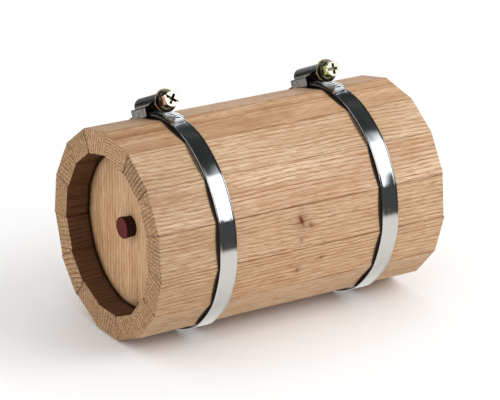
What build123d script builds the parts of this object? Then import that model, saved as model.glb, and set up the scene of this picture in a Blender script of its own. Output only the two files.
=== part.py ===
from build123d import *
from math import cos, degrees, pi, radians, sin, sqrt
import os

# A small oak keg that lies on its two steel hoops. Millimetres, +Z up.
# The keg's axis runs along X, with the stopper end at -X. The origin is under the
# middle of the keg, on the surface that the hoops rest on.

# Barrel
stave_count = 15
keg_length = 156.0
keg_radius = 50.0  # axis to the outer corners of the staves
mouth_radius = 37.9  # axis to the inner corners of the staves
stave_angle = 360 / stave_count
first_corner = 66.0  # about the keg's axis, from +Y towards +Z
joint_gap = 0.03
edge_break = 0.25
past = 5.0  # how far a cutting shape reaches past what it cuts
# Small differences between the boards, from stave_01 on: how far the outer face sits
# in, how much thinner the inside is, and how far each end stands back.
face_sinks = [0.0, 0.15, 0.3, 0.0, 0.2, 0.0, 0.0, 0.1, 0.0, 0.3, 0.0, 0.35, 0.0, 0.2, 0.1]
inner_steps = [0.3, 0.0, 0.4, 0.6, 0.1, 0.0, 0.3, 0.5, 0.0, 0.2, 0.4, 0.1, 0.5, 0.0, 0.3]
front_steps = [0.3, 0.0, 0.4, 0.1, 0.0, 0.3, 0.0, 0.2, 0.0, 0.4, 0.0, 0.3, 0.1, 0.2, 0.0]
rear_steps = [0.0, 0.3, 0.0, 0.2, 0.4, 0.0, 0.1, 0.3, 0.0, 0.0, 0.2, 0.0, 0.3, 0.1, 0.2]

# Heads, held in a turned groove near each end
head_recess = 11.8
head_thickness = 9.0
head_radius = 39.4
head_chamfer = 3.0
groove_clearance = 0.1
groove_lip = 0.5  # the groove starts this far behind the head's face

# Stopper in the front head
stopper_y = -2.5
stopper_up = 3.0
stopper_face_radius = 5.25
stopper_taper = 0.1  # radius lost per millimetre of length
stopper_proud = 5.0
stopper_inside = 2.0
stopper_clearance = 0.05
stopper_edge = 0.4

# Hoops: worm-drive clamps with a 9 mm strip
strip_width = 9.0
strip_thickness = 0.75
rim_width = 0.7  # the strip's two rolled edges
rim_height = 0.15
strip_gap = 0.06
front_hoop_x = -43.3
rear_hoop_x = 45.6
band_radius = keg_radius + 0.05
band_dip = 0.3  # the strip runs this much flatter between two stave corners
round_spans = (0, 1, 13, 14)  # under the clamp the strip follows a true circle
flat_span = 8  # the keg rests on this one
band_outer = band_radius + strip_thickness
tail_radius = band_outer + strip_gap
tail_outer = tail_radius + strip_thickness

# Clamp, at the angle where the screw is square to the radius
clamp_angle = 66.5
screw_height = 54.6  # keg axis to screw axis
thread_pitch = 2.4
thread_start = -4.2
thread_length = 14.0
worm_end = 0.7  # plain length at each end of the thread
worm_root = 2.7
worm_tip = 3.5
thread_root_half = 0.6
thread_tip_half = 0.35
thread_sink = 0.25  # how far the thread is sunk into the worm's core
neck_radius = 2.55
flange_radius = 5.6
flange_start = 18.0
flange_rim = 0.7
flange_thickness = 1.4  # at its middle: the flange's front is a low cone
flange_edge = 0.2
hex_flats = 7.0
hex_length = 5.4
hex_turn = 30.0  # turns a flat of the hexagon towards -X
crown_radius = 3.5  # the hex head's flat end, inside its turned crown
crown_height = 3.4
crown_spread = 2.35  # how much wider the crown's cone is at its foot
recess_width = 1.35
recess_span = 5.2
recess_depth = 2.2
slot_in_head = 1.0  # depth of the straight slot that crosses the whole head
front_recess_turn = 144.0
rear_recess_turn = 0.0

tunnel_radius = 4.15
tunnel_bore = 3.62
tunnel_start = -5.7
tunnel_end = 17.5
tunnel_wall_end = -5.1
tunnel_edge = 1.2
throat_depth = 3.4  # below the screw axis the bore opens straight down to the strips
nose_start = 13.0
nose_height = 0.8
collar_start = 11.0
collar_end = 12.4
collar_bore = 2.72
skirt_start = -6.5
skirt_end = 7.5
skirt_half_width = 5.4
skirt_top = -0.6
skirt_edge = 0.6
skirt_bottom_radius = 50.15
channel_half_width = 4.62
channel_top = -2.7
lip_inner_radius = 49.45
lip_outer_radius = 49.93
lip_leg_radius = 50.45  # a lip's leg runs this far up into the skirt
lip_depth = 1.8
lip_angle = 2.4

# Slotted free end of the strip
tail_start = 44.0
tail_full = 53.0
tail_far_end = 97.0
tail_near_end = 99.5
tail_thin = 0.08
tail_swell = 0.1  # the feathered start bulges this much over a straight slope
tip_clip = 1.2  # the tip's two clipped corners, across and along the strip
tip_clip_along = 1.9
slot_width = 1.5
slot_length = 5.4
slots_behind = 4
slots_ahead = 10
pitch_radius = tail_radius + strip_thickness / 2

axis_height = band_outer * cos(radians(stave_angle / 2))
slot_angle = degrees(thread_pitch / pitch_radius)
slot_slant = degrees(thread_pitch / (2 * pi * worm_tip))
axis_plane = Plane((0, 0, axis_height), x_dir=(0, 1, 0), z_dir=(1, 0, 0))


def polar(radius, angle):
    return (radius * cos(radians(angle)), radius * sin(radians(angle)))


def across(sketch, x_start, x_end):
    """Extrude a sketch of the keg's cross-section between two places on its axis."""
    return extrude(axis_plane.offset(x_start) * sketch, x_end - x_start)


def ring_piece(inner, outer, angle_start, angle_end):
    """A sketch of part of a ring about the keg's axis."""
    middle = (angle_start + angle_end) / 2
    outline = [
        ThreePointArc(polar(inner, angle_start), polar(inner, middle), polar(inner, angle_end)),
        Line(polar(inner, angle_end), polar(outer, angle_end)),
        ThreePointArc(polar(outer, angle_end), polar(outer, middle), polar(outer, angle_start)),
        Line(polar(outer, angle_start), polar(inner, angle_start)),
    ]
    return make_face(Wire(outline))


def edge_radius(edge):
    """Distance from the keg's axis to the middle of an edge."""
    middle = edge @ 0.5
    return sqrt(middle.Y**2 + (middle.Z - axis_height) ** 2)


def save(node, solid):
    solid.label = node
    export_step(solid, os.path.join("parts", node + ".step"))


# ---------------------------------------------------------------- barrel


def head_faces(end):
    """Where the outer and inner faces of the head lie, at end -1 (front) or 1 (rear)."""
    outer = end * (keg_length / 2 - head_recess)
    return outer, outer - end * head_thickness


def groove(end):
    """The turned groove that a head's rim sits in."""
    outer, inner = head_faces(end)
    low = min(outer, inner) + groove_lip
    high = max(outer, inner) - groove_lip
    return across(Circle(head_radius + groove_clearance), low, high)


def stave(index):
    start = first_corner + index * stave_angle
    half = stave_angle / 2
    outer_flat = keg_radius * cos(radians(half)) - face_sinks[index]
    inner_flat = mouth_radius * cos(radians(half)) + inner_steps[index]
    slope = sin(radians(half)) / cos(radians(half))
    outer_half = outer_flat * slope - joint_gap
    inner_half = inner_flat * slope - joint_gap
    outline = Polyline(
        (inner_flat, -inner_half),
        (outer_flat, -outer_half),
        (outer_flat, outer_half),
        (inner_flat, inner_half),
        close=True,
    )
    section = Rot(0, 0, start + half) * make_face(outline)
    x_start = -keg_length / 2 + front_steps[index]
    x_end = keg_length / 2 - rear_steps[index]
    board = across(section, x_start, x_end)
    ends = board.faces().sort_by(Axis.X)
    long_edges = board.edges().filter_by(Axis.X).sort_by(edge_radius)
    board = chamfer(ends[0].edges() + ends[-1].edges() + long_edges[-2:], edge_break)
    return board - groove(-1) - groove(1)


def stopper_radius(depth):
    """Radius of the stopper this far behind its outer face."""
    return stopper_face_radius - stopper_taper * depth


def stopper_cone(depth_start, depth_end, extra):
    """A length of the stopper's taper, made larger all round by extra."""
    outer_x = head_faces(-1)[0] - stopper_proud
    length = depth_end - depth_start
    cone = Cone(
        stopper_radius(depth_start) + extra,
        stopper_radius(depth_end) + extra,
        length,
        align=(Align.CENTER, Align.CENTER, Align.MIN),
    )
    place = Plane(
        (outer_x + depth_start, stopper_y, axis_height + stopper_up),
        x_dir=(0, 1, 0),
        z_dir=(1, 0, 0),
    )
    return place * cone


def head(end):
    low, high = sorted(head_faces(end))
    board = across(Circle(head_radius), low, high)
    rims = board.edges().filter_by(GeomType.CIRCLE)
    board = chamfer(rims, head_chamfer)
    if end < 0:
        board -= stopper_cone(stopper_proud, stopper_proud + head_thickness, stopper_clearance)
    return board


def stopper():
    plug = stopper_cone(0, stopper_proud + head_thickness + stopper_inside, 0)
    rims = plug.edges().filter_by(GeomType.CIRCLE)
    return chamfer(rims, stopper_edge)


# ---------------------------------------------------------------- hoops


def band_sketch(extra):
    """The closed line of the band, this far outside its inner face."""
    lines = []
    for index in range(stave_count):
        start = first_corner + index * stave_angle
        begin = polar(band_radius + extra, start)
        end = polar(band_radius + extra, start + stave_angle)
        dip = 0 if index in round_spans else band_dip
        if index == flat_span:
            lines.append(Line(begin, end))
        else:
            top = polar(band_radius + extra - dip, start + stave_angle / 2)
            lines.append(ThreePointArc(begin, top, end))
    return make_face(Wire(lines))


def band(x):
    """The strip round the staves, with its two edges rolled up a little."""
    low = x - strip_width / 2
    high = x + strip_width / 2
    ring = across(band_sketch(strip_thickness) - band_sketch(0), low, high)
    hollow = band_sketch(strip_thickness + past) - band_sketch(strip_thickness - rim_height)
    return ring - across(hollow, low + rim_width, high - rim_width)


def clamp_plane(x):
    """Screw axis along local Z, towards the head; local X is the keg's X; local Y is out."""
    out = (0, cos(radians(clamp_angle)), sin(radians(clamp_angle)))
    along = (0, -out[2], out[1])
    origin = (x, out[1] * screw_height, out[2] * screw_height + axis_height)
    return Plane(origin, x_dir=(1, 0, 0), z_dir=along)


def tail_slot(x, index):
    """One slanted slot; the thread passes through the middle of it at rest."""
    angle = clamp_angle + index * slot_angle
    y, z = polar(pitch_radius, angle)
    out = (0, cos(radians(angle)), sin(radians(angle)))
    place = Plane((x, y, z + axis_height), x_dir=(1, 0, 0), z_dir=out)
    return place * Rot(0, 0, -slot_slant) * Box(slot_length, slot_width, 4 * strip_thickness)


def tail(x):
    """The slotted free end, from a feathered start behind the housing to its slanted tip."""
    feather_top = tail_radius + tail_thin
    arc_middle = (tail_full + tail_near_end) / 2
    inner_middle = (tail_start + tail_near_end) / 2
    outline = [
        ThreePointArc(
            polar(tail_radius, tail_start),
            polar(tail_radius, inner_middle),
            polar(tail_radius, tail_near_end),
        ),
        Line(polar(tail_radius, tail_near_end), polar(tail_outer, tail_near_end)),
        ThreePointArc(
            polar(tail_outer, tail_near_end),
            polar(tail_outer, arc_middle),
            polar(tail_outer, tail_full),
        ),
        ThreePointArc(
            polar(tail_outer, tail_full),
            polar((feather_top + tail_outer) / 2 + tail_swell, (tail_start + tail_full) / 2),
            polar(feather_top, tail_start),
        ),
        Line(polar(feather_top, tail_start), polar(tail_radius, tail_start)),
    ]
    low = x - strip_width / 2
    strip = across(make_face(Wire(outline)), low, low + strip_width)
    hollow_radius = tail_outer - rim_height
    hollow = ring_piece(hollow_radius, tail_outer + past, tail_start - past, tail_near_end + past)
    strip -= across(hollow, low + rim_width, low + strip_width - rim_width)
    for index in range(-slots_behind, slots_ahead + 1):
        strip -= tail_slot(x, index)
    return strip - tail_tip_cut(x)


def tail_tip_cut(x):
    """What the slanted tip with its two clipped corners leaves away."""
    middle = (tail_near_end + tail_far_end) / 2
    near = radians(tail_near_end - middle) * tail_outer
    half = strip_width / 2
    y, z = polar(tail_outer, middle)
    out = (0, cos(radians(middle)), sin(radians(middle)))
    place = Plane((x, y, z + axis_height), x_dir=(-1, 0, 0), z_dir=out)
    outline = Polyline(
        (half, near - tip_clip_along),
        (half - tip_clip, near),
        (tip_clip - half, -near),
        (-half, -near - tip_clip_along),
        (-half - past, -near - tip_clip_along),
        (-half - past, near + past),
        (half + past, near + past),
        (half + past, near - tip_clip_along),
        close=True,
    )
    return place * extrude(make_face(outline), past / 2, both=True)


def lip(x, side, angle_start, angle_end):
    """A folded lip that reaches in under the band from one side of the skirt."""
    edge = x + side * skirt_half_width
    lip_end = edge - side * lip_depth
    leg_end = edge - side * (skirt_half_width - channel_half_width)
    under = ring_piece(lip_inner_radius, lip_outer_radius, angle_start, angle_end)
    leg = ring_piece(lip_inner_radius, lip_leg_radius, angle_start, angle_end)
    return across(under, min(edge, lip_end), max(edge, lip_end)) + across(
        leg, min(edge, leg_end), max(edge, leg_end)
    )


def housing(x):
    """The pressed housing: closed tunnel over the worm, skirt over the strips, four lips."""
    depth = screw_height - skirt_bottom_radius + past
    walls = Circle(tunnel_radius)
    walls += Pos(0, -depth / 2) * Rectangle(2 * tunnel_radius, depth)
    tunnel = extrude(Plane.XY.offset(tunnel_start) * walls, tunnel_end - tunnel_start)
    back = tunnel.faces().sort_by(Axis.Z)[0]
    crown = back.edges().filter_by(GeomType.CIRCLE)
    tunnel = fillet(crown, tunnel_edge)

    skirt_height = depth + skirt_top
    skirt = Pos(0, skirt_top - skirt_height / 2) * Rectangle(2 * skirt_half_width, skirt_height)
    skirt = fillet(skirt.vertices().sort_by(Axis.Y)[-2:], skirt_edge)
    skirt = extrude(Plane.XY.offset(skirt_start) * skirt, skirt_end - skirt_start)
    body = tunnel + skirt

    bore_length = tunnel_end + past - tunnel_wall_end
    bore = extrude(Plane.XY.offset(tunnel_wall_end) * Circle(tunnel_bore), bore_length)
    collar = Circle((tunnel_bore + tunnel_radius) / 2) - Circle(collar_bore)
    collar = extrude(Plane.XY.offset(collar_start) * collar, collar_end - collar_start)
    throat = Pos(0, -throat_depth / 2) * Rectangle(2 * tunnel_bore, throat_depth)
    throat = extrude(Plane.XY.offset(tunnel_wall_end) * throat, bore_length)
    channel = Pos(0, channel_top - depth / 2) * Rectangle(2 * channel_half_width, depth)
    channel_start = skirt_start - past
    channel = extrude(Plane.XY.offset(channel_start) * channel, tunnel_end + past - channel_start)
    body = body - bore - throat + collar - channel
    body -= front_cut()

    under = Cylinder(skirt_bottom_radius, 4 * skirt_half_width, rotation=(0, 90, 0))
    under = Pos(0, -screw_height, 0) * under
    body = clamp_plane(x) * (body - under)
    angle_low = degrees(skirt_start / screw_height)
    angle_high = degrees(skirt_end / screw_height)
    for side in (-1, 1):
        body += lip(x, side, clamp_angle + angle_low, clamp_angle + angle_low + lip_angle)
        body += lip(x, side, clamp_angle + angle_high - lip_angle, clamp_angle + angle_high)
    return body


def front_cut():
    """The tunnel's lower half is cut back on a slant where the tail comes out."""
    foot = -screw_height + skirt_bottom_radius - past
    outline = Polyline(
        (skirt_end, foot),
        (skirt_end, skirt_top),
        (nose_start, nose_height),
        (tunnel_end + past, nose_height),
        (tunnel_end + past, foot),
        close=True,
    )
    side_plane = Plane((0, 0, 0), x_dir=(0, 0, 1), z_dir=(-1, 0, 0))
    return extrude(side_plane * make_face(outline), 2 * skirt_half_width, both=True)


def thread():
    """The worm's right-hand thread."""
    path = Helix(pitch=thread_pitch, height=thread_length, radius=worm_root, center=(0, 0, thread_start))
    rise = worm_tip - worm_root
    profile = Polyline(
        (-thread_sink, -thread_root_half),
        (rise, -thread_tip_half),
        (rise, thread_tip_half),
        (-thread_sink, thread_root_half),
        close=True,
    )
    place = Plane(path @ 0, x_dir=(1, 0, 0), z_dir=path % 0)
    return sweep(place * make_face(profile), path=path, is_frenet=True)


def shaft(radius, start, end):
    return extrude(Plane.XY.offset(start) * Circle(radius), end - start)


def screw(x, recess_turn):
    """Worm, neck, coned flange and hex head with a slot and a cross recess, in one piece."""
    thread_end = thread_start + thread_length
    head_start = flange_start + flange_thickness
    head_end = head_start + hex_length
    worm = shaft(worm_root, thread_start - worm_end, thread_end + worm_end) + thread()
    neck = shaft(neck_radius, thread_end, head_start)
    flange = shaft(flange_radius, flange_start, flange_start + flange_rim)
    flange = fillet(flange.edges().filter_by(GeomType.CIRCLE), flange_edge)
    hexagon = RegularPolygon(hex_flats / 2, 6, major_radius=False, rotation=hex_turn)
    hex_foot = flange_start + flange_edge
    cone_align = (Align.CENTER, Align.CENTER, Align.MIN)
    cone = Cone(
        flange_radius - flange_edge, hex_flats / 2, flange_thickness - flange_rim, align=cone_align
    )
    flange += Pos(0, 0, flange_start + flange_rim) * cone
    hex_head = extrude(Plane.XY.offset(hex_foot) * hexagon, head_end - hex_foot)
    top_align = (Align.CENTER, Align.CENTER, Align.MAX)
    crown = Pos(0, 0, head_end) * Cone(
        crown_radius + crown_spread, crown_radius, crown_height, align=top_align
    )
    crown += shaft(crown_radius + crown_spread, 0, head_end - crown_height)
    hex_head = hex_head & crown
    recess = Box(recess_span, recess_width, recess_depth) + Box(recess_width, recess_span, recess_depth)
    recess = Pos(0, 0, head_end - recess_depth / 2) * recess
    recess += Pos(0, 0, head_end) * Box(2 * hex_flats, recess_width, 2 * slot_in_head)
    recess = Rot(0, 0, recess_turn) * recess
    return clamp_plane(x) * (worm + neck + flange + hex_head - recess)


def write_all():
    os.makedirs("parts", exist_ok=True)
    for index in range(stave_count):
        save("stave_%02d" % (index + 1), stave(index))
    save("front_head", head(-1))
    save("rear_head", head(1))
    save("stopper", stopper())
    for side, x, turn in (
        ("front", front_hoop_x, front_recess_turn),
        ("rear", rear_hoop_x, rear_recess_turn),
    ):
        save(side + "_hoop_band", band(x))
        save(side + "_hoop_tail", tail(x))
        save(side + "_hoop_housing", housing(x))
        save(side + "_hoop_screw", screw(x, turn))
    print("axis height", round(axis_height, 3), "slot angle", round(slot_angle, 4))
    print("tail turn per screw turn", slot_angle / 360)


write_all()
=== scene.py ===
import bpy
import bmesh
import math
from mathutils import Matrix, Vector, noise


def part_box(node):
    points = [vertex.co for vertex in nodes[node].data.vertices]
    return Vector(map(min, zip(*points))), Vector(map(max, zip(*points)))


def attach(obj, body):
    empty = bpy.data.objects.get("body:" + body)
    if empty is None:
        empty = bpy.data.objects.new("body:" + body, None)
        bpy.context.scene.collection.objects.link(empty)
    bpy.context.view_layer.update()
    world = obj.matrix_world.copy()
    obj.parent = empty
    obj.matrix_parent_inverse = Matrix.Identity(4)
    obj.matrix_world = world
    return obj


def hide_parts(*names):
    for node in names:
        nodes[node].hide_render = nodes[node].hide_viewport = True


# A small oak keg with two worm-drive clamp hoops and a rubber stopper.
# The keg's axis runs along X, with the stopper end at -X and the clamp screws' heads
# towards -Y. Sizes are millimetres, except in the studio at the end, which is in metres.
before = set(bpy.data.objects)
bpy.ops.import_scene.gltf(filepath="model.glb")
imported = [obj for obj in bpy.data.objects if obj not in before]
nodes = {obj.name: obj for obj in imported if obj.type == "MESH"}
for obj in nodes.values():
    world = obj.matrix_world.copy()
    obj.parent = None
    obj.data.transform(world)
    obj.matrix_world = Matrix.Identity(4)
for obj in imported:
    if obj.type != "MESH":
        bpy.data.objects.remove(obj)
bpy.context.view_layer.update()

MM = 0.001
half_length = 78.0
stave_count = 15
stave_angle = 360 / stave_count
rise_of_joint = math.tan(math.radians(stave_angle / 2))
first_corner = 66.0  # the first stave's first corner, from +Y towards +Z
head_low, head_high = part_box("front_head")
axis_height = (head_low.z + head_high.z) / 2 / MM
axis_centre = Vector((0, 0, axis_height))
clamp_angle = 66.5  # where both clamps sit, from +Y towards +Z
screw_height = 54.6  # from the keg's axis to a clamp screw's axis


def box_mm(node):
    """A node's lowest and highest corners, in millimetres."""
    low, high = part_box(node)
    return low / MM, high / MM


def polar(radius, angle, x=0.0):
    """A point on a circle about the keg's axis; angle in degrees from +Y towards +Z."""
    turn = math.radians(angle)
    return Vector((x, radius * math.cos(turn), axis_height + radius * math.sin(turn)))


# ---------------------------------------------------------------- material helpers


class Nodes:
    """Adds nodes to a material; each call returns the new node's output socket."""

    def __init__(self, tree):
        self.tree = tree

    def make(self, kind, inputs=(), output=0, **settings):
        node = self.tree.nodes.new("ShaderNode" + kind)
        for name, value in settings.items():
            setattr(node, name, value)
        for key, value in dict(inputs).items():
            socket = node.inputs[key]
            if isinstance(value, bpy.types.NodeSocket):
                self.tree.links.new(value, socket)
            else:
                socket.default_value = value
        return node.outputs[output]

    def add(self, a, b):
        return self.make("Math", {0: a, 1: b}, operation="ADD")

    def subtract(self, a, b):
        return self.make("Math", {0: a, 1: b}, operation="SUBTRACT")

    def times(self, a, b):
        return self.make("Math", {0: a, 1: b}, operation="MULTIPLY")

    def unary(self, operation, a):
        return self.make("Math", {0: a}, operation=operation)

    def length(self, a, b):
        return self.unary("SQRT", self.add(self.times(a, a), self.times(b, b)))

    def largest(self, a, b):
        return self.make("Math", {0: a, 1: b}, operation="MAXIMUM")

    def inverse(self, a):
        return self.subtract(1.0, a)

    def centred(self, a, amount):
        """Noise made to swing by this amount either side of zero."""
        return self.times(self.subtract(a, 0.5), 2 * amount)

    def mix(self, factor, a, b, blend_type="MIX"):
        sockets = {0: factor, 6: a, 7: b}
        return self.make("Mix", sockets, 2, data_type="RGBA", blend_type=blend_type)

    def ramp(self, value, low, high, out_low=0.0, out_high=1.0):
        sockets = {0: value, 1: low, 2: high, 3: out_low, 4: out_high}
        return self.make("MapRange", sockets, clamp=True)

    def smooth(self, value, low, high):
        sockets = {0: value, 1: low, 2: high}
        return self.make("MapRange", sockets, clamp=True, interpolation_type="SMOOTHSTEP")

    def edge(self, value, place, soft):
        """0 before a place and 1 past it, changing over a soft width either side."""
        return self.smooth(value, place - soft, place + soft)

    def vector(self, operation, a, b=(0.0, 0.0, 0.0), output=0):
        return self.make("VectorMath", {0: a, 1: b}, output, operation=operation)

    def parts(self, vector):
        node = self.tree.nodes.new("ShaderNodeSeparateXYZ")
        self.tree.links.new(vector, node.inputs[0])
        return node.outputs[0], node.outputs[1], node.outputs[2]

    def noise(self, vector, scale, detail=2.0, rough=0.5):
        stretched = self.vector("MULTIPLY", vector, scale)
        sockets = {"Vector": stretched, "Scale": 1.0, "Detail": detail, "Roughness": rough}
        return self.make("TexNoise", sockets)

    def draw(self, value):
        """A random number from 0 to 1, the same for the same value."""
        return self.make("TexWhiteNoise", {"W": value}, noise_dimensions="1D")

    def dome(self, x, y, size_x, size_y):
        """1 at a place, falling off smoothly round it."""
        a = self.times(x, 1 / size_x)
        b = self.times(y, 1 / size_y)
        square = self.add(self.times(a, a), self.times(b, b))
        return self.unary("EXPONENT", self.times(square, -1.0))


def srgb(red, green, blue, gain=1.0):
    """A colour given as 0 to 255 screen values, as the linear colour a shader takes."""
    linear = []
    for value in (red, green, blue):
        share = value / 255
        low = share / 12.92
        high = ((share + 0.055) / 1.055) ** 2.4
        linear.append(gain * (low if share <= 0.04045 else high))
    return (*linear, 1.0)


def new_material(name, **sockets):
    """A material with a Principled shader; returns it, its node helper and its shader."""
    material = bpy.data.materials.new(name)
    material.use_nodes = True
    tree = material.node_tree
    shader = tree.nodes["Principled BSDF"]
    for socket, value in sockets.items():
        shader.inputs[socket.replace("_", " ")].default_value = value
    return material, Nodes(tree), shader


def finish_material(n, shader, colour, rough, height, depth, strength):
    """Gives a shader its colour, its roughness, and a bump depth millimetres deep."""
    bump = n.make("Bump", {"Height": height, "Distance": depth * MM, "Strength": strength})
    for value, socket in ((colour, "Base Color"), (rough, "Roughness"), (bump, "Normal")):
        n.tree.links.new(value, shader.inputs[socket])


def in_millimetres(n):
    """Place on the object in millimetres from the middle of the keg's axis."""
    place = n.make("TexCoord", output=3)
    place = n.vector("MULTIPLY", place, (1 / MM, 1 / MM, 1 / MM))
    return n.vector("SUBTRACT", place, axis_centre)


# ---------------------------------------------------------------- oak

band_low, band_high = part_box("front_hoop_band")
strip_half_width = (band_high.x - band_low.x) / 2 / MM
hoop_middles = [
    sum(corner.x for corner in box_mm(side + "_hoop_band")) / 2 for side in ("front", "rear")
]
board_middle = 43.0  # from the keg's axis to the middle of a stave's thickness
light_gain = 0.86  # the light is a little over full, so oak's colours are turned down


class Board:
    """How one board was cut from the tree, and what colour it is."""

    def __init__(self, seed, pith_angle, pith_far, ring, slope, tone, tint, **features):
        pith = math.radians(pith_angle)
        self.seed = seed
        self.pith = (pith_far * math.cos(pith), board_middle + pith_far * math.sin(pith))
        self.ring = ring
        self.slope = slope
        self.tone = tone
        self.tint = tint
        self.knots = ()
        self.streaks = 0.2  # how strong the clouds of darker colour are
        self.lines = 1.0  # how strong the years' lines are
        self.end_light = 0.855  # how light the sawn ends are
        self.end_lines = 1.15  # how strong their rings are
        self.end_ink = (134, 90, 54)  # and what colour
        self.darkening = 0.92  # how dark the painted shadow beside the hoops is
        self.crack = 0.4  # how dark the joints are on the outside
        self.seam = 0.4  # and on the ends
        for name, value in features.items():
            setattr(self, name, value)


def knot_shift(n, x, y, knots):
    """Pushes the grain aside round each knot; returns the new y and the knots' dark cores."""
    core = None
    for knot_x, knot_y, size in knots:
        dx = n.subtract(x, knot_x)
        dy = n.subtract(y, knot_y)
        push = n.dome(dx, dy, 7.0 * size, 3.2 * size)
        y = n.subtract(y, n.times(n.times(dy, push), 0.85))
        leaning = n.add(dx, n.times(dy, 0.35))
        dark = n.times(n.dome(leaning, dy, 1.1 * size, 2.5 * size), min(1.4, 1.6 * size))
        halo = n.times(n.dome(dx, dy, 2.9 * size, 4.0 * size), 0.5 * min(1.0, 1.3 * size))
        dark = n.largest(dark, halo)
        core = dark if core is None else n.largest(core, dark)
    return y, core


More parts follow.
